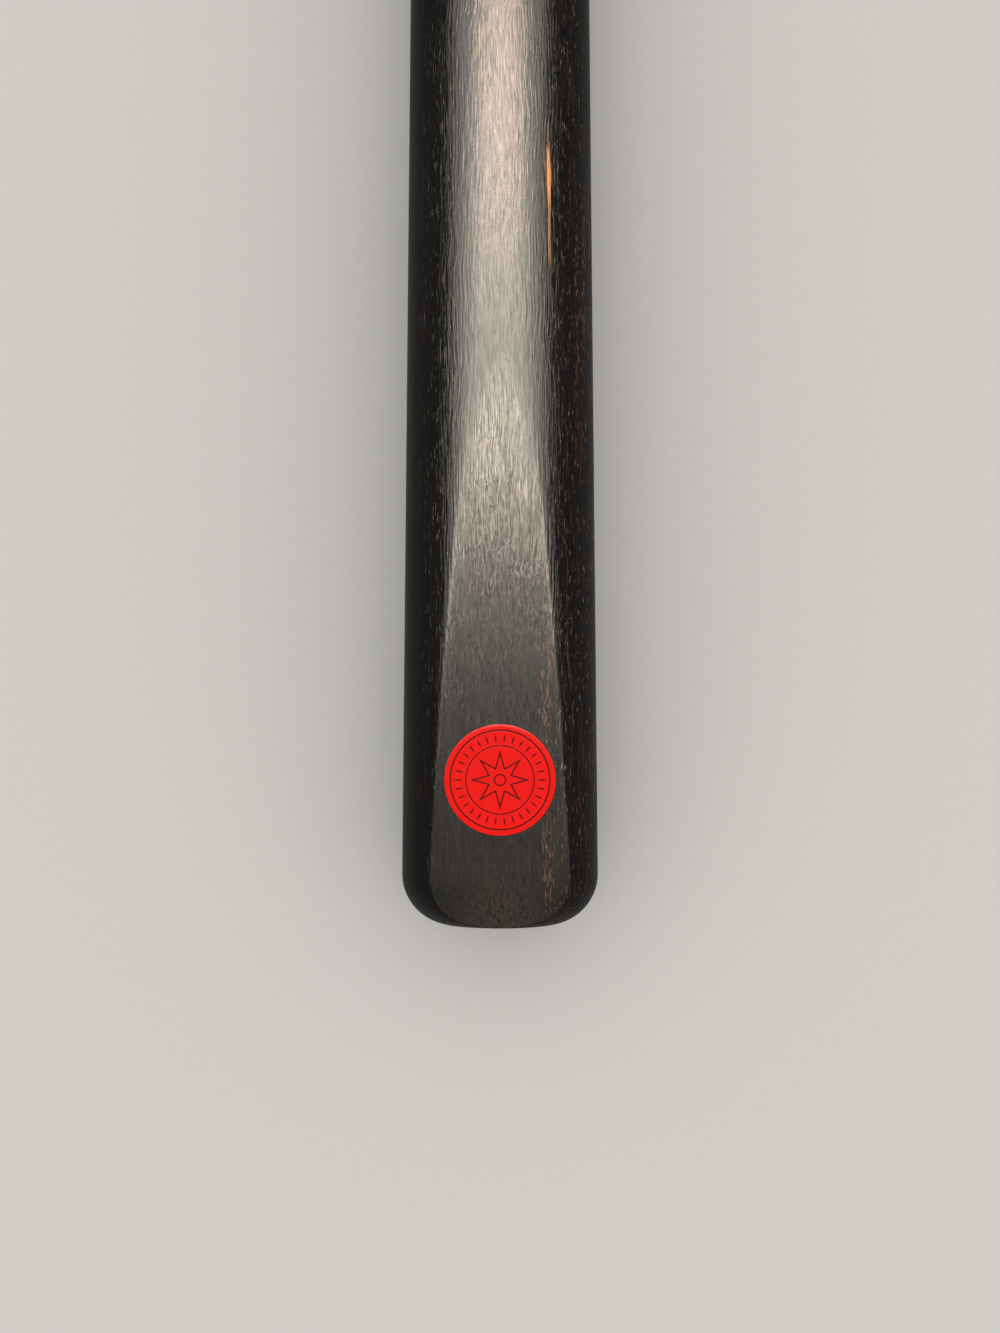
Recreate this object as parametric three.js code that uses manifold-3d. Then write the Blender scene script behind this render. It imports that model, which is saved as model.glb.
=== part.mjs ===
// A three-quarter jointed snooker cue: an ash shaft hand-spliced with ebony, sawn through and joined by
// a brass screw joint, with a flat chamfer and a round badge at the butt end.
//
// Millimetres. The cue lies along +Y, butt first and tip last, with its chamfer facing up, +Z. The
// origin is below the middle of its length, in the plane that the butt rests on. Every piece is
// described by s, its distance from the butt end, on the cue's own centreline.
import * as THREE from "three";
import Module from "manifold-3d";
import { mergeVertices } from "three/addons/utils/BufferGeometryUtils.js";

const wasm = await Module();
wasm.setup();

// ---- the whole cue ----
const cueLength = 1473;
const buttRadius = 14.6;
const tipRadius = 4.75;
const taperPower = 1.25; // above 1, the taper is quickest at the butt
const endRounding = 7.5; // the round corner of the butt end
const facets = 32; // sides of every turned piece; their flats, and not their corners, are at the true radius
const glueGap = 0.2; // glue line between two pieces of wood
const fitGap = 0.15; // glue line round a piece of metal let into wood
const faceGap = 0.05; // between two square faces that are drawn together

// ---- chamfer and badge ----
const chamferLength = 82.5;
const chamferEndHeight = 10.1; // of the flat above the centreline, at the butt end
const badgeRadius = 8;
const badgeThickness = 0.8;
const badgeCentre = 21.6; // from the butt end
const badgeProud = 0.1; // of the chamfer
const badgeFacets = 48;

// ---- splices ----
const valleyEnd = 440; // where the ash first shows between two splices
const pointEnd = 660; // the tip of each splice

// ---- extension bush and balance weight, at the butt end ----
const bushRadius = 6.2;
const bushLength = 32;
const bushBoreDepth = 26;
const extensionThread = { minor: 4, major: 4.6, pitch: 2, rootWidth: 1.4, crestWidth: 0.5 };
const bevel = 0.5; // at the mouth of the bush and the nose of the stud
const weightRadius = 4;
const weightLength = 100;

// ---- three-quarter joint ----
const jointPlane = 406; // the face of the butt section
const collarLength = 8;
const spigotRadius = 6.7;
const spigotLength = 30;
const spigotGroove = { width: 1.6, depth: 0.5, spacing: 6, count: 4 };
const washerThickness = 0.5;
const socketDepth = 27;
const socketMouth = { radius: 5.8, depth: 1.6 }; // plain counterbore in front of the socket's thread
const studLength = 24;
const studRelief = 3; // plain neck between the collar and the thread
const studNose = 4; // plain pilot in front of the thread
const threadClearance = 0.3;
const jointThread = { minor: 4.1, major: 5, pitch: 2.5, rootWidth: 1.7, crestWidth: 0.6 };
const threadSteps = 16; // straight steps in each turn

// ---- ferrule and tip ----
const tipHeight = 5;
const tipDome = 6; // radius of the dome
const ferruleLength = 9;
const tenonRadius = 4;

const shaftPlane = jointPlane + washerThickness + 2 * faceGap; // the face of the shaft section
const shaftWoodStart = shaftPlane + collarLength;
const tipStart = cueLength - tipHeight;
const ferruleStart = tipStart - ferruleLength; // the shoulder that it sits on

// Radius of the finished cue at s.
function cueRadius(s) {
  return tipRadius + (buttRadius - tipRadius) * (1 - s / cueLength) ** taperPower;
}

// Half the side of the square that the ash is planed to at s. It meets the round surface at its
// corners in the valleys and at the middle of its sides at the points.
function coreHalf(s) {
  const atValley = cueRadius(valleyEnd) / Math.SQRT2;
  const atPoint = cueRadius(pointEnd);
  return atValley + ((atPoint - atValley) * (s - valleyEnd)) / (pointEnd - valleyEnd);
}

// Height of the chamfer's plane above the centreline at s.
const chamferSlope = (cueRadius(chamferLength) - chamferEndHeight) / chamferLength;
function chamferHeight(s) {
  return chamferEndHeight + chamferSlope * s;
}

// ---- making and cutting solids ----

// A closed solid from a three.js geometry.
function solidOf(geometry) {
  const bare = geometry.clone();
  bare.deleteAttribute("normal");
  bare.deleteAttribute("uv");
  const merged = mergeVertices(bare, 1e-4);
  return new wasm.Manifold(
    new wasm.Mesh({
      numProp: 3,
      vertProperties: new Float32Array(merged.attributes.position.array),
      triVerts: new Uint32Array(merged.index.array),
    }),
  );
}

// A turned solid: [radius, s] pairs from one end to the other, starting and ending on the centreline.
function turned(profile, sides = facets) {
  const halfStep = Math.PI / sides;
  const points = profile.map(([radius, s]) => new THREE.Vector2(radius / Math.cos(halfStep), s));
  return solidOf(new THREE.LatheGeometry(points, sides, halfStep));
}

// A straight round rod from s to s + length.
function rod(radius, s, length) {
  return turned([
    [0, s],
    [radius, s],
    [radius, s + length],
    [0, s + length],
  ]);
}

// A flat-sided block: an outline of [s, height] pairs, carried from one side of the cue to the other.
function block(outline, halfWidth = 2 * buttRadius) {
  const shape = new THREE.Shape(outline.map(([s, height]) => new THREE.Vector2(s, height)));
  const geometry = new THREE.ExtrudeGeometry(shape, { depth: 2 * halfWidth, bevelEnabled: false });
  geometry.translate(0, 0, -halfWidth);
  const alongCue = new THREE.Vector3(0, 1, 0);
  const up = new THREE.Vector3(0, 0, 1);
  const across = new THREE.Vector3(1, 0, 0);
  geometry.applyMatrix4(new THREE.Matrix4().makeBasis(alongCue, up, across));
  return solidOf(geometry);
}

// The wood outside one face of the planed square, from s = from to s = to, with a glue line of gap.
// The face is turned round the centreline by quarter turns from the top one.
function outsideFace(from, to, gap, quarterTurns) {
  const far = 2 * buttRadius;
  const wedge = block([
    [from, coreHalf(from) + gap],
    [to, coreHalf(to) + gap],
    [to, far],
    [from, far],
  ]);
  return wedge.rotate([0, 90 * quarterTurns, 0]);
}

// The ridge of a right-hand thread: a trapezium carried up a helix, closed by a flat cap at each end.
function threadRidge({ minor, major, pitch, rootWidth, crestWidth }, start, turns, clearance = 0) {
  const sunk = 0.5; // below the root, so that the ridge is joined to the core or cuts through it
  const section = [
    [minor - sunk, -rootWidth / 2 - clearance],
    [major + clearance, -crestWidth / 2 - clearance],
    [major + clearance, crestWidth / 2 + clearance],
    [minor - sunk, rootWidth / 2 + clearance],
  ];
  const steps = Math.round(turns * threadSteps);
  const positions = [];
  const index = [];
  for (let step = 0; step <= steps; step += 1) {
    const angle = (step / threadSteps) * 2 * Math.PI;
    for (const [radius, along] of section) {
      const s = start + (pitch * step) / threadSteps + along;
      positions.push(radius * Math.sin(angle), s, radius * Math.cos(angle));
    }
  }
  const sides = section.length;
  for (let step = 0; step < steps; step += 1) {
    for (let side = 0; side < sides; side += 1) {
      const next = (side + 1) % sides;
      const [a, b] = [step * sides + side, step * sides + next];
      const [c, d] = [a + sides, b + sides];
      index.push(a, c, b, b, c, d);
    }
  }
  const last = steps * sides;
  index.push(0, 1, 2, 0, 2, 3);
  index.push(last, last + 2, last + 1, last, last + 3, last + 2);
  const geometry = new THREE.BufferGeometry();
  geometry.setAttribute("position", new THREE.Float32BufferAttribute(positions, 3));
  geometry.setIndex(index);
  return solidOf(geometry);
}

// ---- materials ----
function finish(color, roughness, metalness = 0) {
  return new THREE.MeshStandardMaterial({ color, roughness, metalness });
}
const ebony = finish(0x15110f, 0.42);
const ash = finish(0xd8b684, 0.45);
const brass = finish(0xc9a24d, 0.28, 1);
const steel = finish(0x8c8f92, 0.35, 1);
const redBadge = finish(0xd40f0a, 0.35);
const fibre = finish(0x6b3a22, 0.7);
const leather = finish(0x4b5f73, 0.85);

// A named piece made from a solid.
function piece(name, solid, material) {
  const { vertProperties, triVerts } = solid.getMesh();
  const geometry = new THREE.BufferGeometry();
  geometry.setAttribute("position", new THREE.Float32BufferAttribute(vertProperties, 3));
  geometry.setIndex(new THREE.Uint32BufferAttribute(triVerts, 1));
  geometry.computeVertexNormals();
  const mesh = new THREE.Mesh(geometry, material);
  mesh.name = name;
  return mesh;
}

// ---- turned blanks of the two sections, before they are cut into splices ----

// The taper from one s to another, as profile points.
function taper(from, to, steps) {
  return Array.from({ length: steps + 1 }, (_, i) => {
    const s = from + ((to - from) * i) / steps;
    return [cueRadius(s), s];
  });
}

// The round corner of the butt end, from its flat middle out to the full radius.
function roundedEnd(steps) {
  const outer = cueRadius(endRounding);
  return Array.from({ length: steps }, (_, i) => {
    const angle = (i / steps) * (Math.PI / 2);
    const radius = outer - endRounding + endRounding * Math.sin(angle);
    return [radius, endRounding * (1 - Math.cos(angle))];
  });
}

const buttWoodEnd = jointPlane - collarLength;
const buttBlank = turned([
  [0, 0],
  ...roundedEnd(5),
  ...taper(endRounding, buttWoodEnd, 4),
  [0, buttWoodEnd],
]);
const shaftBlank = turned([
  [0, shaftWoodStart],
  ...taper(shaftWoodStart, ferruleStart, 12),
  [tenonRadius, ferruleStart],
  [tenonRadius, tipStart - faceGap],
  [0, tipStart - faceGap],
]);

// ---- wood of the butt section ----
const sides = [
  { name: "front", quarterTurns: 0 },
  { name: "right", quarterTurns: 1 },
  { name: "back", quarterTurns: 2 },
  { name: "left", quarterTurns: 3 },
];

// The four splices round the planed square: front and back were glued on last, so they run over the
// edges of left and right.
function splice(blank, from, to, quarterTurns) {
  const slab = blank.intersect(outsideFace(from, to, glueGap, quarterTurns));
  const gluedLast = quarterTurns % 2 === 0;
  if (gluedLast) return slab;
  return slab.subtract(outsideFace(from, to, 0, 0)).subtract(outsideFace(from, to, 0, 2));
}

const chamferCut = block([
  [-1, chamferHeight(-1)],
  [chamferLength, chamferHeight(chamferLength)],
  [chamferLength, 2 * buttRadius],
  [-1, 2 * buttRadius],
]);
const chamferTilt = Math.atan(chamferSlope);
const badgeRecess = (() => {
  const depth = badgeThickness + fitGap - badgeProud;
  const hole = new THREE.CylinderGeometry(badgeRadius + fitGap, badgeRadius + fitGap, 2 * depth, badgeFacets);
  hole.rotateX(Math.PI / 2 + chamferTilt);
  hole.translate(0, badgeCentre, chamferHeight(badgeCentre));
  return solidOf(hole);
})();
const bushHole = rod(bushRadius + fitGap, -1, bushLength + 1 + fitGap);

const butt = new THREE.Group();
for (const { name, quarterTurns } of sides) {
  let wood = splice(buttBlank, 0, buttWoodEnd, quarterTurns).subtract(bushHole);
  if (name === "front") wood = wood.subtract(chamferCut).subtract(badgeRecess);
  butt.add(piece(`butt_splice_${name}`, wood, ebony));
}

// The ash left inside the butt section: a square that widens towards the joint, bored from both ends.
const coreStart = bushLength + 2 * fitGap;
const coreBlank = new THREE.CylinderGeometry(
  coreHalf(buttWoodEnd) * Math.SQRT2,
  coreHalf(coreStart) * Math.SQRT2,
  buttWoodEnd - coreStart,
  4,
  1,
  false,
  Math.PI / 4,
);
coreBlank.translate(0, (coreStart + buttWoodEnd) / 2, 0);
const weightStart = coreStart + fitGap;
const weightHole = rod(weightRadius + fitGap, coreStart - 1, weightLength + 1 + 3 * fitGap);
const femaleSpigotStart = buttWoodEnd - spigotLength;
const spigotHole = rod(spigotRadius + fitGap, femaleSpigotStart - fitGap, spigotLength + 1);
butt.add(piece("butt_core", solidOf(coreBlank).subtract(weightHole).subtract(spigotHole), ash));

// ---- badge, in its recess in the chamfer ----
const badge = new THREE.Mesh(
  new THREE.CylinderGeometry(badgeRadius, badgeRadius, badgeThickness, badgeFacets),
  redBadge,
);
badge.name = "badge";
const badgeMiddle = badgeProud - badgeThickness / 2; // of its thickness, from the chamfer's plane
badge.position.set(
  0,
  badgeCentre - Math.sin(chamferTilt) * badgeMiddle,
  chamferHeight(badgeCentre) + Math.cos(chamferTilt) * badgeMiddle,
);
badge.rotation.x = Math.PI / 2 + chamferTilt;
butt.add(badge);

// ---- balance weight ----
const weight = piece("balance_weight", rod(weightRadius, 0, weightLength), steel);
weight.position.y = weightStart;
butt.add(weight);

// ---- extension bush: a brass plug with a blind threaded hole that opens at the butt end ----
function extensionBush() {
  const { minor, major, pitch } = extensionThread;
  const body = rod(bushRadius, 0, bushLength);
  const bore = turned([
    [0, -1],
    [major + bevel, -1],
    [major + bevel, 0],
    [minor, major + bevel - minor],
    [minor, bushBoreDepth],
    [0, bushBoreDepth + minor / 2],
  ]);
  const turns = (bushBoreDepth - 2 * pitch) / pitch;
  return body.subtract(bore).subtract(threadRidge(extensionThread, 0, turns));
}
butt.add(piece("extension_bush", extensionBush(), brass));

// ---- three-quarter joint ----

// Grooves that hold the glue on a spigot which starts at s.
function glueGrooves(s) {
  const { width, depth, spacing, count } = spigotGroove;
  const rings = Array.from({ length: count }, (_, i) => {
    const start = s + spacing * (i + 0.5);
    return rod(2 * spigotRadius, start, width).subtract(rod(spigotRadius - depth, start, width));
  });
  return rings.reduce((all, ring) => all.add(ring));
}

// Thread that is in mesh at rest: both halves start theirs at the same s and the same angle.
const threadStart = -studLength + studNose - jointThread.pitch / 2;

// Butt half: collar and spigot in one, with a blind threaded socket. Its own zero is the joint's plane.
function femaleJoint() {
  const bore = jointThread.minor + threadClearance;
  const collarBottom = -collarLength + faceGap;
  const body = turned([
    [0, -collarLength - spigotLength],
    [spigotRadius, -collarLength - spigotLength],
    [spigotRadius, collarBottom],
    [cueRadius(buttWoodEnd), collarBottom],
    [cueRadius(jointPlane), 0],
    [0, 0],
  ]);
  const socket = turned([
    [0, -socketDepth - bore / 2],
    [bore, -socketDepth],
    [bore, -socketMouth.depth + bore - socketMouth.radius],
    [socketMouth.radius, -socketMouth.depth],
    [socketMouth.radius, 1],
    [0, 1],
  ]);
  const turns = (-threadStart - socketMouth.depth) / jointThread.pitch;
  return body
    .subtract(glueGrooves(-collarLength - spigotLength))
    .subtract(socket)
    .subtract(threadRidge(jointThread, threadStart, turns, threadClearance));
}
const female = piece("joint_socket", femaleJoint(), brass);
female.position.y = jointPlane;
butt.add(female);

// Washer between the two collars. It slides off the butt with the shaft, and doesn't turn.
const washerRadius = cueRadius(jointPlane) - 0.3;
const washerHole = jointThread.major + 0.4;
const washer = piece(
  "joint_washer",
  rod(washerRadius, 0, washerThickness).subtract(rod(washerHole, -1, washerThickness + 2)),
  fibre,
);
washer.position.y = jointPlane + faceGap;

// Shaft half: stud, collar and spigot in one. Its own zero is the joint's plane, as the socket's is.
function maleJoint() {
  const collarStart = shaftPlane - jointPlane;
  const collarEnd = collarStart + collarLength;
  const body = turned([
    [0, -studLength],
    [jointThread.minor - bevel, -studLength],
    [jointThread.minor, -studLength + bevel],
    [jointThread.minor, collarStart],
    [cueRadius(shaftPlane), collarStart],
    [cueRadius(shaftWoodStart), collarEnd - faceGap],
    [spigotRadius, collarEnd - faceGap],
    [spigotRadius, collarEnd + spigotLength],
    [0, collarEnd + spigotLength],
  ]).subtract(glueGrooves(collarEnd + spigotGroove.width));
  const turns = (studLength - studNose) / jointThread.pitch;
  const threadSpan = turned([
    [0, -studLength + studNose],
    [jointThread.minor, -studLength + studNose],
    [jointThread.major + 1, -studLength + studNose + 1],
    [jointThread.major + 1, -studRelief - 1],
    [jointThread.minor, -studRelief],
    [0, -studRelief],
  ]);
  return body.add(threadRidge(jointThread, threadStart, turns).intersect(threadSpan));
}
const male = piece("joint_stud", maleJoint(), brass);
male.position.y = jointPlane;

// ---- wood of the shaft section ----
const shaft = new THREE.Group();
for (const { name, quarterTurns } of sides) {
  const wood = splice(shaftBlank, shaftWoodStart, pointEnd, quarterTurns);
  shaft.add(piece(`shaft_splice_${name}`, wood, ebony));
}
const maleSpigotHole = rod(spigotRadius + fitGap, shaftWoodStart - 1, spigotLength + 1 + fitGap);
let shaftWood = shaftBlank.subtract(maleSpigotHole);
for (const { quarterTurns } of sides) {
  shaftWood = shaftWood.subtract(outsideFace(shaftWoodStart - 1, pointEnd, 0, quarterTurns));
}
shaft.add(piece("shaft", shaftWood, ash), male);

// ---- ferrule and tip ----
const ferruleBlank = turned([
  [0, ferruleStart + faceGap],
  [cueRadius(ferruleStart), ferruleStart + faceGap],
  [tipRadius, tipStart - faceGap],
  [0, tipStart - faceGap],
]);
const ferruleBore = rod(tenonRadius + fitGap, ferruleStart - 1, ferruleLength + 2);
shaft.add(piece("ferrule", ferruleBlank.subtract(ferruleBore), brass));

function tipProfile(steps) {
  const domeAngle = Math.asin(tipRadius / tipDome);
  const domeCentre = tipHeight - tipDome;
  const dome = Array.from({ length: steps + 1 }, (_, i) => {
    const angle = domeAngle * (1 - i / steps);
    return [tipDome * Math.sin(angle), domeCentre + tipDome * Math.cos(angle)];
  });
  return [[0, 0], [tipRadius, 0], ...dome];
}
const tip = piece("tip", turned(tipProfile(6)), leather);
tip.position.y = tipStart;
shaft.add(tip);

// ---- the cue, resting on its butt with its middle over the origin ----
const cue = new THREE.Group();
cue.add(butt, washer, shaft);
cue.position.set(0, -cueLength / 2, cueRadius(endRounding));

export default cue;
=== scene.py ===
"""A three-quarter jointed snooker cue: ebony splices round an ash core, turned brass joint, bush and
ferrule, a leather tip and a red badge in the flat chamfer at the butt end.

Lengths of the cue are in millimetres in this file, and s is the distance from the butt end along the
cue. point() turns them into metres in the shared frame, where the cue lies along +Y, chamfer up.
"""

import math

import bmesh
import bpy
import numpy as np
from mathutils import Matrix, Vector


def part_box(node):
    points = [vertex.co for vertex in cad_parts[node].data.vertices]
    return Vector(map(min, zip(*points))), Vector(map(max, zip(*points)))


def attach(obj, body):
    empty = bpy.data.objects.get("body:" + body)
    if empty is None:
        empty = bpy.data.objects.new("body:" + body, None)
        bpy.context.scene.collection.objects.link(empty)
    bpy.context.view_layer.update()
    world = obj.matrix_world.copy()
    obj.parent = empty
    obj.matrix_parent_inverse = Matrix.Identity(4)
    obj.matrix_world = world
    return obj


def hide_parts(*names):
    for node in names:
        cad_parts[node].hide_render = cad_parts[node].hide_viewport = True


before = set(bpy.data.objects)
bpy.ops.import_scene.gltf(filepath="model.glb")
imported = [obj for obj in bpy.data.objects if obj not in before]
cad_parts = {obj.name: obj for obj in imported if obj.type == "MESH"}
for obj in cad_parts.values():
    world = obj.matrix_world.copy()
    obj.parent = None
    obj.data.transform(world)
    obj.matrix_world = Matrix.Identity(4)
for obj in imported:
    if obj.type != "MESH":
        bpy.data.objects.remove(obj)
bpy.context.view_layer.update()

MM = 0.001

# ---- sizes of the cue, in millimetres ----
LENGTH = 1473.0
BUTT_RADIUS = 14.6
TIP_RADIUS = 4.75
TAPER_POWER = 1.25
END_ROUNDING = 7.5
CHAMFER_LENGTH = 82.5
CHAMFER_END_HEIGHT = 10.1
CHAMFER_DIP = 1.3
CHAMFER_DIP_REACH = 3.6
CHAMFER_EDGE = 0.2  # softness of the chamfer's edges
BADGE_RADIUS = 8.0
BADGE_THICKNESS = 0.8
BADGE_CENTRE = 21.6
BADGE_PROUD = 0.1
VALLEY_END = 440.0
POINT_END = 660.0
BUSH_RADIUS = 6.2
BUSH_LENGTH = 32.0
BUSH_BORE = 4.0
BUSH_BORE_DEPTH = 26.0
BUSH_HOLE = 6.3  # radius of the hole that the bush is glued into
HOLE_OVERRUN = 0.3  # by which that hole is deeper than the bush is long
JOINT = 406.0
COLLAR = 8.0
WOOD_END = JOINT - COLLAR  # where the butt's wood meets its collar
SPIGOT_RADIUS = 6.7
SPIGOT_LENGTH = 30.0
WASHER = 0.5
WASHER_HOLE = 5.4
WASHER_START = JOINT + 0.05
SHAFT_FACE = JOINT + 0.6
SHAFT_WOOD = SHAFT_FACE + COLLAR
TIP_START = LENGTH - 5.0
FERRULE_START = TIP_START - 9.0
TENON_RADIUS = 4.0
TIP_DOME = 6.0
TIP_BULGE = 0.08  # by which play has spread the leather past the ferrule
TIP_BULGE_AT = 1.2
ASH_REACH = 0.1  # by which the ash's flats reach into the splices glued to them
SPLICE_PROUD = 0.012  # by which the splices' points stand out of the ash, so that their edges are clean
FACE_GAP = 0.05  # between turned faces that meet

# ---- where the cue lies in the frame ----
butt_low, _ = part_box("butt_splice_back")
BUTT_END = butt_low.y / MM

QUARTER = math.pi / 2
SIDES = {"front": 0, "right": 1, "back": 2, "left": 3}


def cue_radius(s):
    """Radius of the round cue: the tip's, plus a share of what the butt has more. The share is the part
    of the length that is left to the tip, to the power TAPER_POWER."""
    s = np.asarray(s, float)
    return TIP_RADIUS + (BUTT_RADIUS - TIP_RADIUS) * (1 - s / LENGTH) ** TAPER_POWER


AXIS_HEIGHT = butt_low.z / MM + float(cue_radius(END_ROUNDING))


def butt_radius(s):
    """The cue's radius with its rounded end: over the last 7.5 mm, a quarter of a circle of that radius."""
    s = np.asarray(s, float)
    inside = np.clip(END_ROUNDING - s, 0, END_ROUNDING)
    drop = END_ROUNDING - np.sqrt(END_ROUNDING**2 - inside**2)
    return np.where(s < END_ROUNDING, cue_radius(END_ROUNDING) - drop, cue_radius(s))


def core_half(s):
    """Half the side of the planed ash square: it meets the round surface at its corners at the
    valleys, and at the middle of its sides at the points. Straight in between and beyond."""
    low = cue_radius(VALLEY_END) / math.sqrt(2)
    high = cue_radius(POINT_END)
    share = (np.asarray(s, float) - VALLEY_END) / (POINT_END - VALLEY_END)
    return low + (high - low) * share


CHAMFER_SLOPE = (float(cue_radius(CHAMFER_LENGTH)) - CHAMFER_END_HEIGHT) / CHAMFER_LENGTH
CHAMFER_TILT = math.atan(CHAMFER_SLOPE)


def chamfer_height(s):
    """Height of the chamfer above the centreline: a straight line along the cue, which bends down as a
    bell curve of s where sanding has rounded it over at the very end."""
    s = np.asarray(s, float)
    return CHAMFER_END_HEIGHT + CHAMFER_SLOPE * s - CHAMFER_DIP * np.exp(-((s / CHAMFER_DIP_REACH) ** 2))


def soft_min(a, b, softness):
    """The lesser of a and b, rounded where they cross: half of a + b - sqrt((a - b)^2 + softness^2)."""
    return 0.5 * (a + b - np.sqrt((a - b) ** 2 + softness**2))


def point(angle, radius, s):
    """Frame positions of points at a radius from the centreline, turned by angle from the top towards +X."""
    x = radius * np.sin(angle)
    z = AXIS_HEIGHT + radius * np.cos(angle)
    return np.stack([x, BUTT_END + s + 0 * x, z], axis=-1) * MM


# ---- making meshes ----
def mesh_piece(node_name, points, faces, material, body):
    """A closed piece in place of a node: merges doubles, shades smooth but for edges over 35 degrees,
    and joins the frame."""
    name = f"{node_name}_finished"
    mesh = bpy.data.meshes.new(name)
    mesh.from_pydata(points.reshape(-1, 3).tolist(), [], faces)
    work = bmesh.new()
    work.from_mesh(mesh)
    bmesh.ops.remove_doubles(work, verts=work.verts, dist=0.5e-6)
    bmesh.ops.dissolve_degenerate(work, edges=work.edges, dist=1e-8)
    work.to_mesh(mesh)
    work.free()
    mesh.shade_smooth()
    mesh.set_sharp_from_angle(angle=math.radians(35))
    mesh.materials.append(material)
    obj = bpy.data.objects.new(name, mesh)
    bpy.context.scene.collection.objects.link(obj)
    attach(obj, body)
    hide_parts(node_name)
    return obj


def ring_faces(rows, columns):
    """Quads between rows of points that close on themselves, each row of the same count."""
    corner = np.arange(rows - 1)[:, None] * columns + np.arange(columns)
    beside = np.arange(rows - 1)[:, None] * columns + (np.arange(columns) + 1) % columns
    quads = np.stack([corner, beside, beside + columns, corner + columns], axis=-1)
    return quads.reshape(-1, 4).tolist()


def turned(name, profile, material, body, columns=128, cut=None, loop=False):
    """A turned piece: a profile of (radius, s) swept round the centreline. Where a thread or flats are
    cut into it, cut(angle, s, radius) gives the new radius. A profile that starts and ends on the
    centreline closes there, and a loop closes on itself."""
    radius, s = np.array(profile, float).T
    if loop:
        radius, s = np.append(radius, radius[0]), np.append(s, s[0])
    angle = np.arange(columns) * 2 * math.pi / columns
    grid_angle, grid_s = np.broadcast_arrays(angle, s[:, None])
    grid_radius = np.broadcast_to(radius[:, None], grid_s.shape)
    if cut:
        grid_radius = cut(grid_angle, grid_s, grid_radius)
    points = point(grid_angle, grid_radius, grid_s)
    return mesh_piece(name, points, ring_faces(len(s), columns), material, body)


def stepped(corners, step):
    """Points along straight lines from corner to corner, no further apart than step."""
    found = [corners[:1]]
    for (r0, s0), (r1, s1) in zip(corners, corners[1:]):
        count = max(1, math.ceil(math.hypot(r1 - r0, s1 - s0) / step))
        share = np.arange(1, count + 1)[:, None] / count
        found.append([[r0, s0]] + share * [[r1 - r0, s1 - s0]])
    return np.concatenate(found)


def thread_height(angle, s, start, pitch, root, crest):
    """Height of a right-hand thread, from 0 in its groove to 1 on its flat crest. The ridge's middle is
    at s = start + pitch * angle / turn, and its flank falls between half of crest and half of root."""
    phase = (s - start) / pitch - angle / (2 * math.pi)
    from_ridge = np.abs(phase - np.round(phase)) * pitch
    return np.clip((root / 2 - from_ridge) / ((root - crest) / 2), 0, 1)


def slab(name, s, outer, outer_half, inner, inner_half, side, material, body, columns):
    """A long splice. At each s its section is bounded outside by radius outer(angle, s), over angles of
    up to outer_half(s) each way, and inside by inner(angle, s), over up to inner_half(s). Angles are
    measured from the middle of the splice. The two ends are closed with strips from out to in."""
    rows = s[:, None]
    across = np.linspace(-1, 1, columns)
    out_angle = across * outer_half(rows)
    in_angle = -across * inner_half(rows)
    angle = np.concatenate([out_angle, in_angle], axis=1)
    radius = np.concatenate([outer(out_angle, rows), inner(in_angle, rows)], axis=1)
    points = point(angle + QUARTER * SIDES[side], radius, rows)
    out = np.arange(columns - 1)
    within = 2 * columns - 1 - out
    start = np.stack([out, within, within - 1, out + 1], axis=-1)
    end = start[:, ::-1] + (len(s) - 1) * 2 * columns
    faces = ring_faces(len(s), 2 * columns) + start.tolist() + end.tolist()
    return mesh_piece(name, points, faces, material, body)


# ---- materials ----
def colour(hex_value):
    """Linear colour, with an alpha of 1, from an sRGB hex number."""
    parts = [(hex_value >> shift & 255) / 255 for shift in (16, 8, 0)]
    return [c / 12.92 if c <= 0.04045 else ((c + 0.055) / 1.055) ** 2.4 for c in parts] + [1.0]


def node(tree, kind, inputs=(), **settings):
    """Adds a shader node with its settings. inputs maps each socket to a value, to a socket to link
    from, or to a node, which is linked from its first output in use."""
    made = tree.nodes.new("ShaderNode" + kind)
    for key, value in settings.items():
        setattr(made, key, value)
    for socket, value in dict(inputs).items():
        if isinstance(value, bpy.types.Node):
            value = next(output for output in value.outputs if output.enabled)
        if isinstance(value, bpy.types.NodeSocket):
            tree.links.new(value, made.inputs[socket])
        else:
            made.inputs[socket].default_value = value
    return made


def start_material(name):
    """An empty material, its node tree, and its object coordinates in millimetres."""
    material = bpy.data.materials.new(name)
    material.use_nodes = True
    tree = material.node_tree
    tree.nodes.clear()
    where = node(tree, "TexCoord").outputs["Object"]
    return material, tree, node(tree, "VectorMath", {0: where, 3: 1000}, operation="SCALE")


def finish_material(tree, shader, height, depth):
    """Ends a material whose surface is raised by height times depth in millimetres."""
    bump = node(tree, "Bump", {"Height": height, "Distance": depth * MM})
    tree.links.new(bump.outputs[0], shader.inputs["Normal"])
    node(tree, "OutputMaterial", {"Surface": shader})


def grain(tree, mm, size, seed, low, high, detail=2.0):
    """Patches about size (across, along) in millimetres, drawn out along the cue: 0 where the noise is
    below low, and 1 where it is above high."""
    across, along = size
    stretched = node(
        tree,
        "VectorMath",
        {0: mm, 1: (1 / across, 1 / along, 1 / across), 2: (seed, seed, seed)},
        operation="MULTIPLY_ADD",
    )
    noise = node(tree, "TexNoise", {"Vector": stretched, "Scale": 1.0, "Detail": detail})
    ends = {"Value": noise, "From Min": low, "From Max": high}
    return node(tree, "MapRange", ends, interpolation_type="SMOOTHSTEP")


def tinted(tree, base, colour_there, share, strength=1.0):
    """The base colour with colour_there laid over it where share is 1, as strongly as strength."""
    cover = node(tree, "Math", {0: share, 1: strength}, operation="MULTIPLY")
    return node(tree, "Mix", {0: cover, 6: base, 7: colour_there}, data_type="RGBA")


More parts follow.
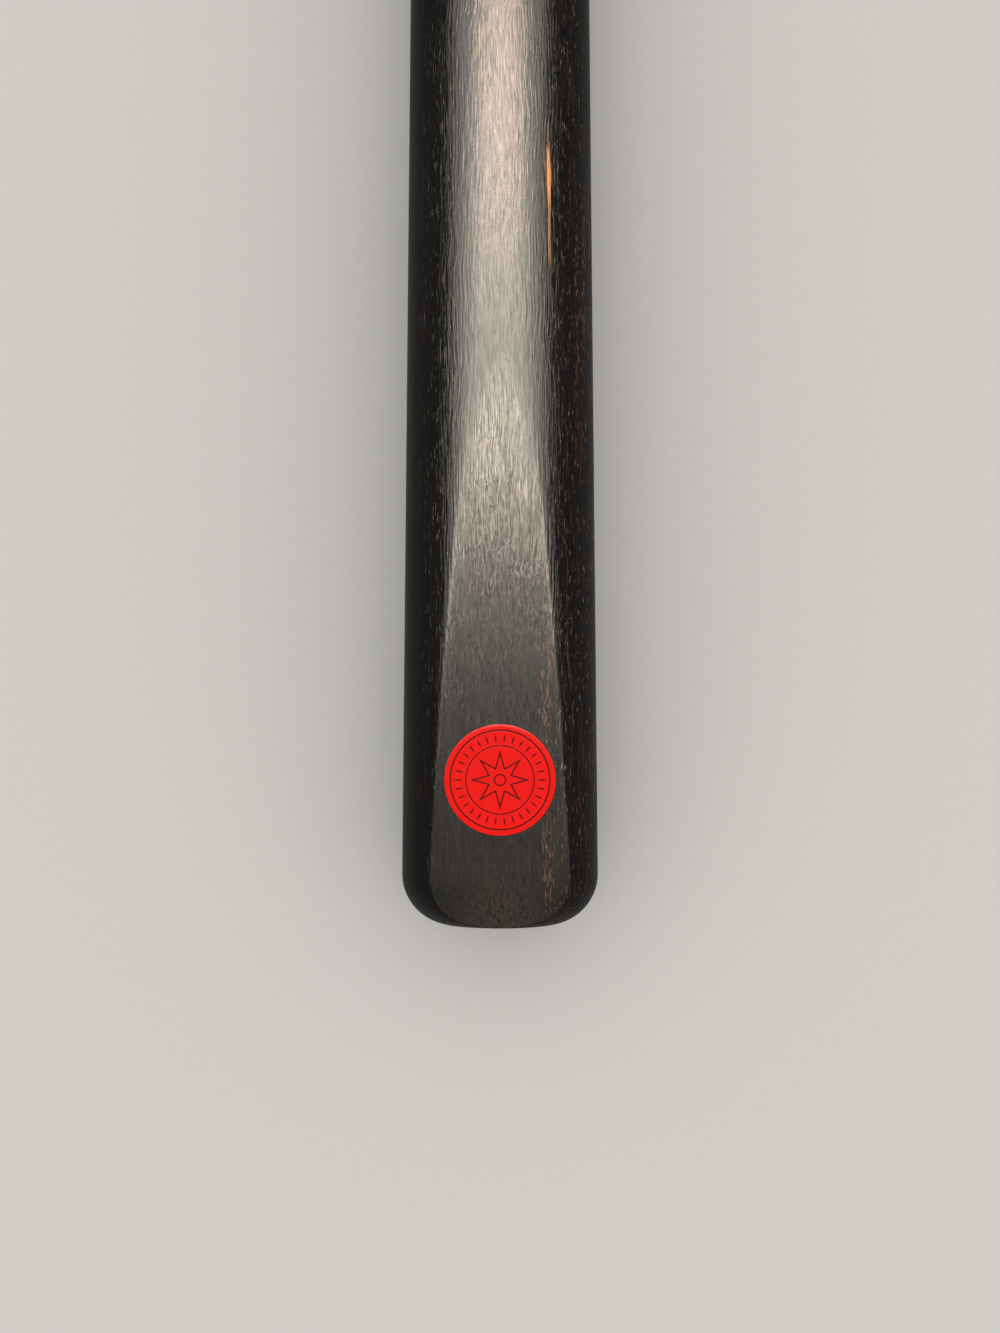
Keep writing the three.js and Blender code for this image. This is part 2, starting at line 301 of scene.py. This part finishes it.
def spindle(tree, mm, centre, half):
    """A long thin patch: 1 in the middle of an ellipsoid with these half-sizes, and 0 on its skin."""
    away = node(tree, "VectorMath", {0: mm, 1: centre}, operation="SUBTRACT")
    scaled = node(tree, "VectorMath", {0: away, 1: [1 / h for h in half]}, operation="MULTIPLY")
    reach = node(tree, "VectorMath", {0: scaled}, operation="LENGTH")
    return node(tree, "Math", {0: 1.0, 1: reach}, operation="SUBTRACT")


def badge_place():
    """Centre of the badge's face, its direction up the chamfer, and its normal, in frame millimetres."""
    normal = np.array([0, -math.sin(CHAMFER_TILT), math.cos(CHAMFER_TILT)])
    up = np.array([0, math.cos(CHAMFER_TILT), math.sin(CHAMFER_TILT)])
    height = CHAMFER_END_HEIGHT + CHAMFER_SLOPE * BADGE_CENTRE
    return np.array([0, BUTT_END + BADGE_CENTRE, AXIS_HEIGHT + height]), up, normal


def ebony(name, seed, streaks):
    """Ebony, planed, sanded along the grain and oiled: near black with dark brown bands, open pores as short
    dark dashes, pale flecks that are partly the wood's own and partly painted glints, more of both on the
    cue's right, and a satin sheen that the grain combs into fine wavy lines. Its fibres are 0.05 mm wide and
    are drawn at 0.3 mm, so that they show. Each streak is an ellipsoid of another tint with a torn edge."""
    material, tree, mm = start_material(name)
    wander = node(tree, "TexNoise", {"Vector": mm, "Scale": 0.09, "Detail": 1.0})
    wavy = node(
        tree,
        "VectorMath",
        {0: wander.outputs["Color"], 1: (1.6, 0, 1.6), 2: mm},
        operation="MULTIPLY_ADD",
    )
    # Beyond 5 mm on the cue's right the brown lines are stronger, and so are the pale flecks, which are
    # painted glints there.
    right = node(tree, "SeparateXYZ", {0: mm}).outputs["X"]
    right = node(tree, "MapRange", {"Value": right, "From Min": 5.0, "From Max": 9.0, "To Min": 0.12})
    band = grain(tree, wavy, (1.8, 70.0), seed, 0.4, 0.7, 3.0)
    fibre = grain(tree, wavy, (0.34, 14.0), seed + 3, 0.3, 0.7)
    comb = grain(tree, wavy, (0.24, 5.0), seed + 5, 0.3, 0.7)
    pore = grain(tree, wavy, (0.2, 2.8), seed + 7, 0.64, 0.72, 1.0)
    # Pale flecks: partly the wood's own, partly painted glints.
    fleck_and_glint = grain(tree, wavy, (0.2, 1.6), seed + 11, 0.67, 0.77, 1.0)
    fleck_and_glint = node(tree, "Math", {0: fleck_and_glint, 1: right}, operation="MULTIPLY")
    line = grain(tree, wavy, (0.3, 16.0), seed + 13, 0.62, 0.7, 1.0)
    line = node(tree, "Math", {0: line, 1: right}, operation="MULTIPLY")
    base = tinted(tree, colour(0x060505), colour(0x0E0A08), band)
    base = tinted(tree, base, colour(0x16100C), fibre, 0.4)
    base = tinted(tree, base, colour(0x4A2E1A), line, 0.7)
    base = tinted(tree, base, colour(0xA08468), fleck_and_glint, 0.7)
    broken_by = {"dashes": grain(tree, wavy, (0.2, 1.6), seed + 17, 0.53, 0.63, 1.0), "fibres": comb}
    for centre, half, tint, pattern in streaks:
        x, s, z = centre
        reach = spindle(tree, mm, (x, BUTT_END + s, AXIS_HEIGHT + z), half)
        torn = node(tree, "Math", {0: comb, 1: -0.6, 2: reach}, operation="MULTIPLY_ADD")
        within = node(tree, "MapRange", {"Value": torn, "From Min": -0.2, "From Max": 0.2})
        if pattern in broken_by:
            within = node(tree, "Math", {0: within, 1: broken_by[pattern]}, operation="MULTIPLY")
        base = tinted(tree, base, colour(tint), within)
    base = tinted(tree, base, colour(0x040303), pore, 0.8)
    middle, _, _ = badge_place()
    # Painted shade: the ebony is painted darkest just round the badge and under it, where the gap of its
    # recess would be in shade.
    groove = spindle(tree, mm, middle.tolist(), [BADGE_RADIUS + 0.35] * 3)
    groove = node(tree, "MapRange", {"Value": groove, "From Min": 0.012, "From Max": 0.03})
    base = tinted(tree, base, colour(0x030202), groove)
    rough = node(tree, "MapRange", {"Value": fibre, "To Min": 0.19, "To Max": 0.21})
    relief = node(tree, "Math", {0: fibre, 1: 0.6}, operation="MULTIPLY")
    relief = node(tree, "Math", {0: comb, 1: 0.5, 2: relief}, operation="MULTIPLY_ADD")
    relief = node(tree, "Math", {0: pore, 1: -0.5, 2: relief}, operation="MULTIPLY_ADD")
    dull = grain(tree, wavy, (0.22, 2.6), seed + 19, 0.3, 0.7)
    gloss = node(tree, "MapRange", {"Value": dull, "To Min": 0.585, "To Max": 0.435})
    shader = node(
        tree,
        "BsdfPrincipled",
        {"Base Color": base, "Roughness": rough, "IOR": 1.5, "Specular IOR Level": gloss},
    )
    finish_material(tree, shader, relief, 0.027)
    return material


def ash(name):
    """Ash, planed and oiled: cream wood whose flat year rings come out of the tapered round as long
    arrowheads, each a line of open brown pores 2.1 mm from the next."""
    material, tree, mm = start_material(name)
    parts = node(tree, "SeparateXYZ", {0: mm})
    wander = grain(tree, mm, (7.0, 260.0), 0, 0.2, 0.8)
    depth = node(
        tree, "Math", {0: parts.outputs["Y"], 1: 0.004, 2: parts.outputs["Z"]}, operation="MULTIPLY_ADD"
    )
    depth = node(tree, "Math", {0: wander, 1: 2.2, 2: depth}, operation="MULTIPLY_ADD")
    year = node(tree, "Math", {0: depth, 1: 1 / 2.1}, operation="MULTIPLY")
    year = node(tree, "Math", {0: year}, operation="FRACT")
    start = node(tree, "MapRange", {"Value": year, "From Min": 0.0, "From Max": 0.08})
    stop = node(tree, "MapRange", {"Value": year, "From Min": 0.5, "From Max": 0.22})
    early = node(tree, "Math", {0: start, 1: stop}, operation="MULTIPLY")
    fibre = grain(tree, mm, (0.14, 12.0), 2, 0.3, 0.7)
    pore = grain(tree, mm, (0.22, 3.5), 5, 0.48, 0.6, 1.0)
    open_pore = node(tree, "Math", {0: pore, 1: early}, operation="MULTIPLY")
    base = tinted(tree, colour(0xE2C79A), colour(0xD0AC78), fibre)
    base = tinted(tree, base, colour(0xBE9560), early, 0.5)
    base = tinted(tree, base, colour(0x7A5230), open_pore, 0.75)
    relief = node(tree, "Math", {0: open_pore, 1: -5.0, 2: fibre}, operation="MULTIPLY_ADD")
    rough = node(tree, "MapRange", {"Value": fibre, "To Min": 0.34, "To Max": 0.44})
    shader = node(
        tree,
        "BsdfPrincipled",
        {"Base Color": base, "Roughness": rough, "IOR": 1.5, "Coat Weight": 0.3, "Coat Roughness": 0.25},
    )
    finish_material(tree, shader, relief, 0.002)
    return material


def turned_metal(name, bright, dull, line, roughness):
    """Metal turned on a lathe and polished: fine rings round the cue, a line apart, and a little tarnish."""
    material, tree, mm = start_material(name)
    rings = node(
        tree, "VectorMath", {0: mm, 1: (0.02 / line, 1 / line, 0.02 / line)}, operation="MULTIPLY"
    )
    turning = node(tree, "TexNoise", {"Vector": rings, "Scale": 1.0, "Detail": 2.0})
    tarnish = node(tree, "TexNoise", {"Vector": mm, "Scale": 0.35, "Detail": 4.0})
    shade = node(tree, "MapRange", {"Value": tarnish, "From Min": 0.35, "From Max": 0.75})
    rough = node(tree, "MapRange", {"Value": shade, "To Min": roughness, "To Max": roughness + 0.14})
    base = tinted(tree, colour(bright), colour(dull), shade)
    shader = node(tree, "BsdfPrincipled", {"Base Color": base, "Metallic": 1.0, "Roughness": rough})
    finish_material(tree, shader, turning, 0.002)
    return material


def pressed(name, light, dark, speck, roughness):
    """Pressed leather or fibre: a matt, mottled surface with fibres about a speck across."""
    material, tree, mm = start_material(name)
    mottle = node(tree, "TexNoise", {"Vector": mm, "Scale": 1 / speck, "Detail": 5.0})
    patch = node(tree, "TexNoise", {"Vector": mm, "Scale": 0.5, "Detail": 3.0})
    share = node(tree, "Math", {0: mottle, 1: patch}, operation="MULTIPLY")
    share = node(tree, "MapRange", {"Value": share, "From Min": 0.12, "From Max": 0.4})
    base = tinted(tree, colour(dark), colour(light), share)
    shader = node(tree, "BsdfPrincipled", {"Base Color": base, "Roughness": roughness})
    finish_material(tree, shader, mottle, 0.05)
    return material


def engraved(tree, distance, half_width):
    """A line where distance is nearly 0: 1 in it, and 0 beyond 1.3 times its half-width."""
    away = node(tree, "Math", {0: distance}, operation="ABSOLUTE")
    return node(
        tree, "MapRange", {"Value": away, "From Min": half_width * 1.3, "From Max": half_width * 0.5}
    )


def badge_enamel(name):
    """Red enamel on a thin metal disc, polished, with fine lines engraved through to the dark: two
    rings, a circle of ticks between them and an eight-pointed star. Its UV map is in millimetres from
    its centre."""
    material, tree, mm = start_material(name)
    uv = node(tree, "UVMap", uv_map="badge_mm")
    parts = node(tree, "SeparateXYZ", {0: uv})
    reach = node(tree, "VectorMath", {0: uv}, operation="LENGTH")
    turn = node(
        tree, "Math", {0: parts.outputs["Y"], 1: parts.outputs["X"]}, operation="ARCTAN2"
    )
    cuts = []
    for radius, half_width in ((7.15, 0.11), (4.9, 0.09), (0.8, 0.1)):
        distance = node(tree, "Math", {0: reach, 1: radius}, operation="SUBTRACT")
        cuts.append(engraved(tree, distance, half_width))
    tick = node(tree, "Math", {0: turn, 1: math.pi / 30}, operation="PINGPONG")
    tick = node(tree, "Math", {0: tick, 1: reach}, operation="MULTIPLY")
    tick = engraved(tree, tick, 0.12)
    from_middle = node(tree, "Math", {0: reach, 1: 6.0}, operation="SUBTRACT")
    within = engraved(tree, from_middle, 0.5)
    cuts.append(node(tree, "Math", {0: tick, 1: within}, operation="MULTIPLY"))
    fold = node(tree, "Math", {0: turn, 1: math.pi / 8}, operation="PINGPONG")
    tip, hollow = 3.9, 1.7
    edge = (hollow * math.cos(math.pi / 8) - tip, hollow * math.sin(math.pi / 8))
    lean = math.atan2(edge[1], edge[0])
    # From the star's tip, the distance square to its side is reach * sin(lean - fold) - tip * sin(lean).
    slant = node(tree, "Math", {0: lean, 1: fold}, operation="SUBTRACT")
    slant = node(tree, "Math", {0: slant}, operation="SINE")
    side = node(
        tree, "Math", {0: slant, 1: reach, 2: -tip * math.sin(lean)}, operation="MULTIPLY_ADD"
    )
    cuts.append(engraved(tree, side, 0.11))
    cut = cuts[0]
    for other in cuts[1:]:
        cut = node(tree, "Math", {0: cut, 1: other}, operation="MAXIMUM")
    speckle = node(tree, "TexNoise", {"Vector": mm, "Scale": 4.0, "Detail": 3.0})
    base = tinted(tree, colour(0xEC0803), colour(0xF60E05), speckle)
    base = tinted(tree, base, colour(0x1A0504), cut)
    rough = node(tree, "MapRange", {"Value": speckle, "To Min": 0.1, "To Max": 0.16})
    height = node(tree, "Math", {0: 1.0, 1: cut}, operation="SUBTRACT")
    shader = node(
        tree, "BsdfPrincipled", {"Base Color": base, "Roughness": rough, "Specular IOR Level": 0.22}
    )
    finish_material(tree, shader, height, 0.004)
    return material


# Each streak is its middle (x, s, height above the centreline), its half-sizes, its tint, and what breaks
# it up. The orange one is sapwood that runs out on the round above the chamfer.
FRONT_STREAKS = [
    ((7.05, 108.0, 11.7), (0.36, 8.0, 1.8), 0xF09A58, "nothing"),
    ((7.15, 100.5, 11.8), (0.28, 6.0, 1.8), 0xA8703E, "nothing"),
    # This grey-brown patch over the end of the flat is painted sheen: it lightens the flat's end as its
    # reflection of the room beyond the butt would.
    ((0.3, 0.0, 9.8), (11.0, 13.0, 3.4), 0x3C2E25, "fibres"),
    ((6.6, 34.0, 11.6), (0.9, 14.0, 1.6), 0x6E5040, "dashes"),
    ((6.9, 9.0, 10.6), (1.0, 13.0, 1.6), 0x6E4A3E, "dashes"),
    ((11.2, 88.0, 8.4), (0.4, 26.0, 1.6), 0x5E3A1C, "dashes"),
    ((12.4, 95.0, 6.6), (0.4, 20.0, 1.6), 0x5E421A, "dashes"),
]
ebony_of = {
    "front": ebony("ebony_front_oiled", 0.0, FRONT_STREAKS),
    "right": ebony("ebony_right_oiled", 23.0, []),
    "back": ebony("ebony_back_oiled", 41.0, []),
    "left": ebony("ebony_left_oiled", 67.0, []),
}
ash_oiled = ash("ash_oiled")
brass_turned = turned_metal("brass_turned", 0xE6C684, 0xC49E5C, 0.12, 0.17)
steel_turned = turned_metal("steel_turned", 0x9A9C9E, 0x6E7072, 0.2, 0.3)
fibre_pressed = pressed("fibre_pressed", 0x7A4A2C, 0x4A2A18, 0.4, 0.75)
leather_chalked = pressed("leather_chalked", 0x6F93A8, 0x3A4C58, 0.3, 0.9)
enamel_red = badge_enamel("enamel_red")


# ---- wood of the butt section ----
def splice_half(s, radius):
    """Half-angle of a splice's outside: the angle at which its inner plane meets the round surface."""
    return np.arccos(np.clip(core_half(s) / radius, 0, 1))


def covered_half(s, radius):
    """Half-angle of a splice glued on first, which the planes of the two glued on last cut short."""
    return np.minimum(splice_half(s, radius), np.arcsin(np.clip(core_half(s) / radius, 0, 1)))


def butt_outer(angle, s):
    return butt_radius(s) + 0 * angle


def butt_front_outer(angle, s):
    """The round butt, cut by the chamfer's plane where that is nearer the centreline."""
    flat = chamfer_height(s) / np.cos(angle)
    return soft_min(butt_outer(angle, s), flat, CHAMFER_EDGE)


def butt_inner(angle, s):
    """The glued plane, or the hole for the bush where that is further out."""
    hole = np.where(s < BUSH_LENGTH + HOLE_OVERRUN, BUSH_HOLE, 0)
    return np.maximum(core_half(s) / np.cos(angle), hole)


# The rows are close together round the end and along the chamfer, and further apart above it. The front
# splice has the most columns, because the chamfer's edges run along it at a slant.
past_chamfer = CHAMFER_LENGTH + 7.5
round_end = END_ROUNDING * (1 - np.cos(np.linspace(0, QUARTER, 36)[:-1]))
chamfer_rows = np.linspace(END_ROUNDING, past_chamfer, 166)[:-1]
butt_rows = np.concatenate([round_end, chamfer_rows, np.linspace(past_chamfer, WOOD_END, 50)])
for side in SIDES:
    glued_last = side in ("front", "back")
    half = splice_half if glued_last else covered_half
    slab(
        f"butt_splice_{side}",
        butt_rows,
        butt_front_outer if side == "front" else butt_outer,
        lambda s, half=half: half(s, butt_radius(s)),
        butt_inner,
        (lambda s: splice_half(s, butt_radius(s))) if glued_last else (lambda s: 0 * s + QUARTER / 2),
        side,
        ebony_of[side],
        "butt",
        {"front": 181, "back": 97, "right": 33, "left": 33}[side],
    )


# ---- wood of the shaft section ----
def shaft_outer(angle, s):
    return cue_radius(s) + SPLICE_PROUD + 0 * angle


shaft_rows = np.linspace(SHAFT_WOOD, POINT_END, 240)
for side in SIDES:
    glued_last = side in ("front", "back")
    half = splice_half if glued_last else covered_half
    slab(
        f"shaft_splice_{side}",
        shaft_rows,
        shaft_outer,
        lambda s, half=half: half(s, cue_radius(s)),
        lambda angle, s: core_half(s) / np.cos(angle),
        (lambda s: splice_half(s, cue_radius(s)))
        if glued_last
        else (lambda s: np.minimum(splice_half(s, cue_radius(s)), QUARTER / 2)),
        side,
        ebony_of[side],
        "shaft",
        65 if glued_last else 49,
    )


def planed_square(angle, s, radius):
    """The round shaft with four flats, which reach a little into the splices, so that no gap shows."""
    flat = (core_half(s) + ASH_REACH) / np.maximum(np.abs(np.cos(angle)), np.abs(np.sin(angle)))
    return np.where(s <= POINT_END, np.minimum(radius, flat), radius)


shaft_s = np.concatenate(
    [np.linspace(SHAFT_WOOD, POINT_END, 160), np.linspace(POINT_END + 5, FERRULE_START, 80)]
)
turned(
    "shaft",
    np.concatenate(
        [
            [[0, SHAFT_WOOD]],
            np.stack([cue_radius(shaft_s), shaft_s], axis=1),
            [[TENON_RADIUS, FERRULE_START], [TENON_RADIUS, TIP_START - FACE_GAP]],
            [[0, TIP_START - FACE_GAP]],
        ]
    ),
    ash_oiled,
    "shaft",
    cut=planed_square,
)
for node_name, material in {"butt_core": ash_oiled, "balance_weight": steel_turned}.items():
    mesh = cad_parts[node_name].data
    mesh.materials.clear()
    mesh.materials.append(material)


# ---- badge ----
def badge():
    """A flat disc square to the chamfer, with a rounded rim: rings of points about its middle, each at a
    radius and a height above the chamfer, from the middle of its back round to the middle of its face."""
    top, bottom, rim = BADGE_PROUD, BADGE_PROUD - BADGE_THICKNESS, 0.06
    bend = np.linspace(0, QUARTER, 7)
    radius = np.concatenate([[0, BADGE_RADIUS], BADGE_RADIUS - rim + rim * np.cos(bend), [7.4, 6, 4, 2, 0]])
    height = np.concatenate([[bottom] * 2, top - rim + rim * np.sin(bend), [top] * 5])
    turn = np.arange(160) * 2 * math.pi / 160
    across = radius[:, None] * np.cos(turn)
    along = radius[:, None] * np.sin(turn)
    middle, up, normal = badge_place()
    points = (
        middle
        + across[..., None] * np.array([1.0, 0, 0])
        + along[..., None] * up
        + height[:, None, None] * normal
    )
    obj = mesh_piece(
        "badge", points * MM, ring_faces(len(radius), 160), enamel_red, "butt"
    )
    mesh = obj.data
    corner = np.zeros(len(mesh.loops), np.int32)
    mesh.loops.foreach_get("vertex_index", corner)
    place = np.zeros(len(mesh.vertices) * 3)
    mesh.vertices.foreach_get("co", place)
    place = place.reshape(-1, 3)[corner] / MM - middle
    layer = mesh.uv_layers.new(name="badge_mm")
    layer.data.foreach_set("uv", np.stack([place[:, 0], place @ up], axis=1).ravel())


badge()


# ---- extension bush ----
def bush_thread(angle, s, radius):
    """The bore's wall is cut outwards by the thread's ridge, 0.6 mm deep, inside the first 24 mm."""
    ridge = thread_height(angle, s, start=0, pitch=2.0, root=1.25, crest=0.5)
    in_bore = (np.abs(radius - BUSH_BORE) < 0.05) & (s < BUSH_BORE_DEPTH - 2)
    return np.where(in_bore, radius + 0.6 * ridge, radius)


turned(
    "extension_bush",
    np.concatenate(
        [
            [[0, BUSH_BORE_DEPTH + 2], [2, BUSH_BORE_DEPTH + 1]],
            stepped([[BUSH_BORE, BUSH_BORE_DEPTH], [BUSH_BORE, 1.1]], 0.16),
            [[5.0, 0.1], [5.15, 0], [6.0, 0], [BUSH_RADIUS, 0.2]],
            [[BUSH_RADIUS, BUSH_LENGTH], [0, BUSH_LENGTH]],
        ]
    ),
    brass_turned,
    "butt",
    columns=96,
    cut=bush_thread,
)


# ---- three-quarter joint ----
STUD_END = JOINT - 24
SOCKET_END = JOINT - 29
PITCH = 2.5
THREAD_START = STUD_END + 4 - PITCH / 2
MINOR, MAJOR = 4.1, 5.0  # radii of the stud's core and of its thread
SOCKET_BORE = MINOR + 0.3
MOUTH = 5.8  # radius of the socket's mouth, which clears the stud's neck
BROKEN_EDGE = 0.25
joint_radius = float(cue_radius(JOINT))
wood_radius = float(cue_radius(WOOD_END))
face_radius = float(cue_radius(SHAFT_FACE))
shaft_wood_radius = float(cue_radius(SHAFT_WOOD))


def socket_thread(angle, s, radius):
    """The socket's wall is cut outwards by the stud's ridge, with room to turn."""
    ridge = thread_height(angle, s, THREAD_START, PITCH, root=1.9, crest=1.0)
    in_bore = (np.abs(radius - SOCKET_BORE) < 0.02) & (s > THREAD_START)
    return np.where(in_bore, radius + (MAJOR - MINOR) * ridge, radius)


turned(
    "joint_socket",
    np.concatenate(
        [
            [[0, WOOD_END - SPIGOT_LENGTH], [SPIGOT_RADIUS, WOOD_END - SPIGOT_LENGTH]],
            [[SPIGOT_RADIUS, WOOD_END + FACE_GAP], [wood_radius, WOOD_END + FACE_GAP]],
            stepped(
                [
                    [wood_radius, WOOD_END + 0.1],
                    [joint_radius, JOINT - BROKEN_EDGE],
                    [joint_radius - BROKEN_EDGE, JOINT],
                    [MOUTH + 0.2, JOINT],
                ],
                2.0,
            ),
            [[MOUTH, JOINT - 0.2], [MOUTH, JOINT - 1.6]],
            stepped([[SOCKET_BORE, JOINT - 3], [SOCKET_BORE, SOCKET_END + 2]], 0.2),
            [[0, SOCKET_END]],
        ]
    ),
    brass_turned,
    "butt",
    columns=96,
    cut=socket_thread,
)


def stud_thread(angle, s, radius):
    """The stud's ridge stands out of its core, and runs out over 1 mm at each end."""
    ridge = thread_height(angle, s, THREAD_START, PITCH, root=1.3, crest=0.6)
    fade = np.clip(s - (JOINT - 20), 0, 1) * np.clip(JOINT - 3 - s, 0, 1)
    on_core = np.abs(radius - MINOR) < 0.01
    return np.where(on_core, radius + (MAJOR - MINOR) * ridge * fade, radius)


turned(
    "joint_stud",
    np.concatenate(
        [
            [[0, STUD_END], [MINOR - 0.5, STUD_END]],
            stepped([[MINOR, STUD_END + 0.5], [MINOR, SHAFT_FACE]], 0.16),
            stepped(
                [
                    [face_radius - BROKEN_EDGE, SHAFT_FACE],
                    [face_radius, SHAFT_FACE + BROKEN_EDGE],
                    [shaft_wood_radius, SHAFT_WOOD - 0.1],
                ],
                2.0,
            ),
            [[shaft_wood_radius, SHAFT_WOOD - FACE_GAP], [SPIGOT_RADIUS, SHAFT_WOOD - FACE_GAP]],
            [[SPIGOT_RADIUS, SHAFT_WOOD + SPIGOT_LENGTH], [0, SHAFT_WOOD + SPIGOT_LENGTH]],
        ]
    ),
    brass_turned,
    "shaft",
    columns=96,
    cut=stud_thread,
)
washer_radius = joint_radius - 0.3
washer_end = WASHER_START + WASHER
turned(
    "joint_washer",
    [
        [WASHER_HOLE, WASHER_START],
        [washer_radius - 0.1, WASHER_START],
        [washer_radius, WASHER_START + 0.1],
        [washer_radius, washer_end - 0.1],
        [washer_radius - 0.1, washer_end],
        [WASHER_HOLE, washer_end],
    ],
    fibre_pressed,
    "washer",
    columns=96,
    loop=True,
)

# ---- ferrule and tip ----
ferrule_wide = float(cue_radius(FERRULE_START))
ferrule_bore = TENON_RADIUS + 0.1
turned(
    "ferrule",
    stepped(
        [
            [ferrule_bore, FERRULE_START + FACE_GAP],
            [ferrule_wide - 0.08, FERRULE_START + FACE_GAP],
            [ferrule_wide, FERRULE_START + 0.15],
            [TIP_RADIUS, TIP_START - 0.15],
            [TIP_RADIUS - 0.08, TIP_START - FACE_GAP],
            [ferrule_bore, TIP_START - FACE_GAP],
        ],
        1.5,
    ),
    brass_turned,
    "shaft",
    columns=96,
    loop=True,
)
# The dome is part of a ball that starts just inside the tip's side, so that the bulge leads into it.
dome_bend = np.linspace(math.asin(TIP_RADIUS / TIP_DOME) * 0.97, 0, 28)
dome_radius = TIP_DOME * np.sin(dome_bend)
dome_s = LENGTH - TIP_DOME + TIP_DOME * np.cos(dome_bend)
turned(
    "tip",
    np.concatenate(
        [
            [[0, TIP_START], [TIP_RADIUS - 0.1, TIP_START], [TIP_RADIUS + 0.05, TIP_START + 0.5]],
            [[TIP_RADIUS + TIP_BULGE, TIP_START + TIP_BULGE_AT]],
            np.stack([dome_radius, dome_s], axis=1),
        ]
    ),
    leather_chalked,
    "shaft",
    columns=96,
)


# ---- floor, light and camera ----
def floor():
    """A wide flat sheet that leans with the cue's underside, so that butt and tip both rest on it."""
    butt_touch = BUTT_END + END_ROUNDING
    tip_touch = BUTT_END + TIP_START + TIP_BULGE_AT
    rise = AXIS_HEIGHT - TIP_RADIUS - TIP_BULGE
    slope = rise / (tip_touch - butt_touch)
    reach = 17000.0
    corners = [(-reach, -reach), (reach, -reach), (reach, reach), (-reach, reach)]
    points = [(x * MM, y * MM, (y - butt_touch) * slope * MM) for x, y in corners]
    mesh = bpy.data.meshes.new("floor")
    mesh.from_pydata(points, [], [(0, 1, 2, 3)])
    material, tree, mm = start_material("floor_pale_card")
    mottle = node(tree, "TexNoise", {"Vector": mm, "Scale": 0.8, "Detail": 4.0})
    base = tinted(tree, colour(0xCFCDC9), colour(0xD3D1CD), mottle)
    shader = node(
        tree, "BsdfPrincipled", {"Base Color": base, "Roughness": 0.9, "Specular IOR Level": 0.0}
    )
    finish_material(tree, shader, mottle, 0.02)
    mesh.materials.append(material)
    obj = bpy.data.objects.new("floor", mesh)
    bpy.context.scene.collection.objects.link(obj)
    obj.visible_glossy = False


def softbox(name, middle, size, height, radiance, tint, sheen):
    """A flat light that faces down: its middle and size are (x, s) in millimetres. Its power is pi
    times its area times the radiance it shows. It lights either the sheen or the body colour."""
    light = bpy.data.lights.new(name, "AREA")
    light.shape = "RECTANGLE"
    light.size, light.size_y = size[0] * MM, size[1] * MM
    light.energy = math.pi * light.size * light.size_y * radiance
    light.color = tint
    obj = bpy.data.objects.new(name, light)
    obj.location = (middle[0] * MM, (BUTT_END + middle[1]) * MM, height * MM)
    obj.visible_camera = False
    obj.visible_diffuse = not sheen
    obj.visible_glossy = sheen
    bpy.context.scene.collection.objects.link(obj)


def camera():
    """Looks down on the butt end from 300 mm, and leans a little towards the tip."""
    s, above_axis, lean = 28.9, 298.6, math.radians(1.79)
    data = bpy.data.cameras.new("camera")
    data.sensor_width = 36
    data.lens = 54.07
    data.clip_start = 0.02
    obj = bpy.data.objects.new("camera", data)
    obj.location = (0, (BUTT_END + s) * MM, (AXIS_HEIGHT + above_axis) * MM)
    obj.rotation_euler = (lean, 0, 0)
    bpy.context.scene.collection.objects.link(obj)
    bpy.context.scene.camera = obj


def surroundings():
    """A pale, even room, which the sheen of surfaces sees much dimmer than their body colour does."""
    world = bpy.data.worlds.new("studio")
    world.use_nodes = True
    tree = world.node_tree
    tree.nodes.clear()
    for_sheen = node(tree, "LightPath").outputs["Is Glossy Ray"]
    strength = node(tree, "MapRange", {"Value": for_sheen, "To Min": 0.64, "To Max": 0.12})
    room = node(tree, "Background", {"Color": colour(0xF6F5F2), "Strength": strength})
    node(tree, "OutputWorld", {"Surface": room})
    bpy.context.scene.world = world


floor()
# The sheen shows a lit ceiling a metre up, whose near edge fades out in the chamfer, a dim stretch of it
# beyond the butt end, and two rows of warm lamps under it, which pick out the fibres. Each panel has a
# height of its own, because a ray meets only one of two panels that lie in the same plane.
CEILING = (1.0, 0.97, 0.83)
softbox("ceiling_narrow", (-60, 348), (1155, 384), 1000, 2.8, CEILING, sheen=True)
softbox("ceiling_middle", (-60, 318), (2000, 444), 1010, 2.95, CEILING, sheen=True)
softbox("ceiling_wide", (-60, 918), (3500, 1764), 1020, 3.1, CEILING, sheen=True)
softbox("ceiling_dim", (0, -1272), (1500, 2616), 1030, 0.36, CEILING, sheen=True)
for x in (-390, -130, 130, 390):
    softbox(f"lamp_far_{x}", (x, 455), (70, 200), 990, 41, (1.0, 0.68, 0.58), sheen=True)
for x in (-600, 0, 600):
    softbox(f"lamp_near_{x}", (x, 128), (150, 114), 980, 30, (1.0, 0.82, 0.68), sheen=True)
# One wide panel high above lights the body colour and the floor evenly.
softbox("soft_top", (0, 735), (40000, 40000), 4000, 0.43, (1.0, 0.99, 0.97), sheen=False)
surroundings()
camera()
bpy.context.scene.view_settings.view_transform = "Standard"

bpy.context.view_layer.update()
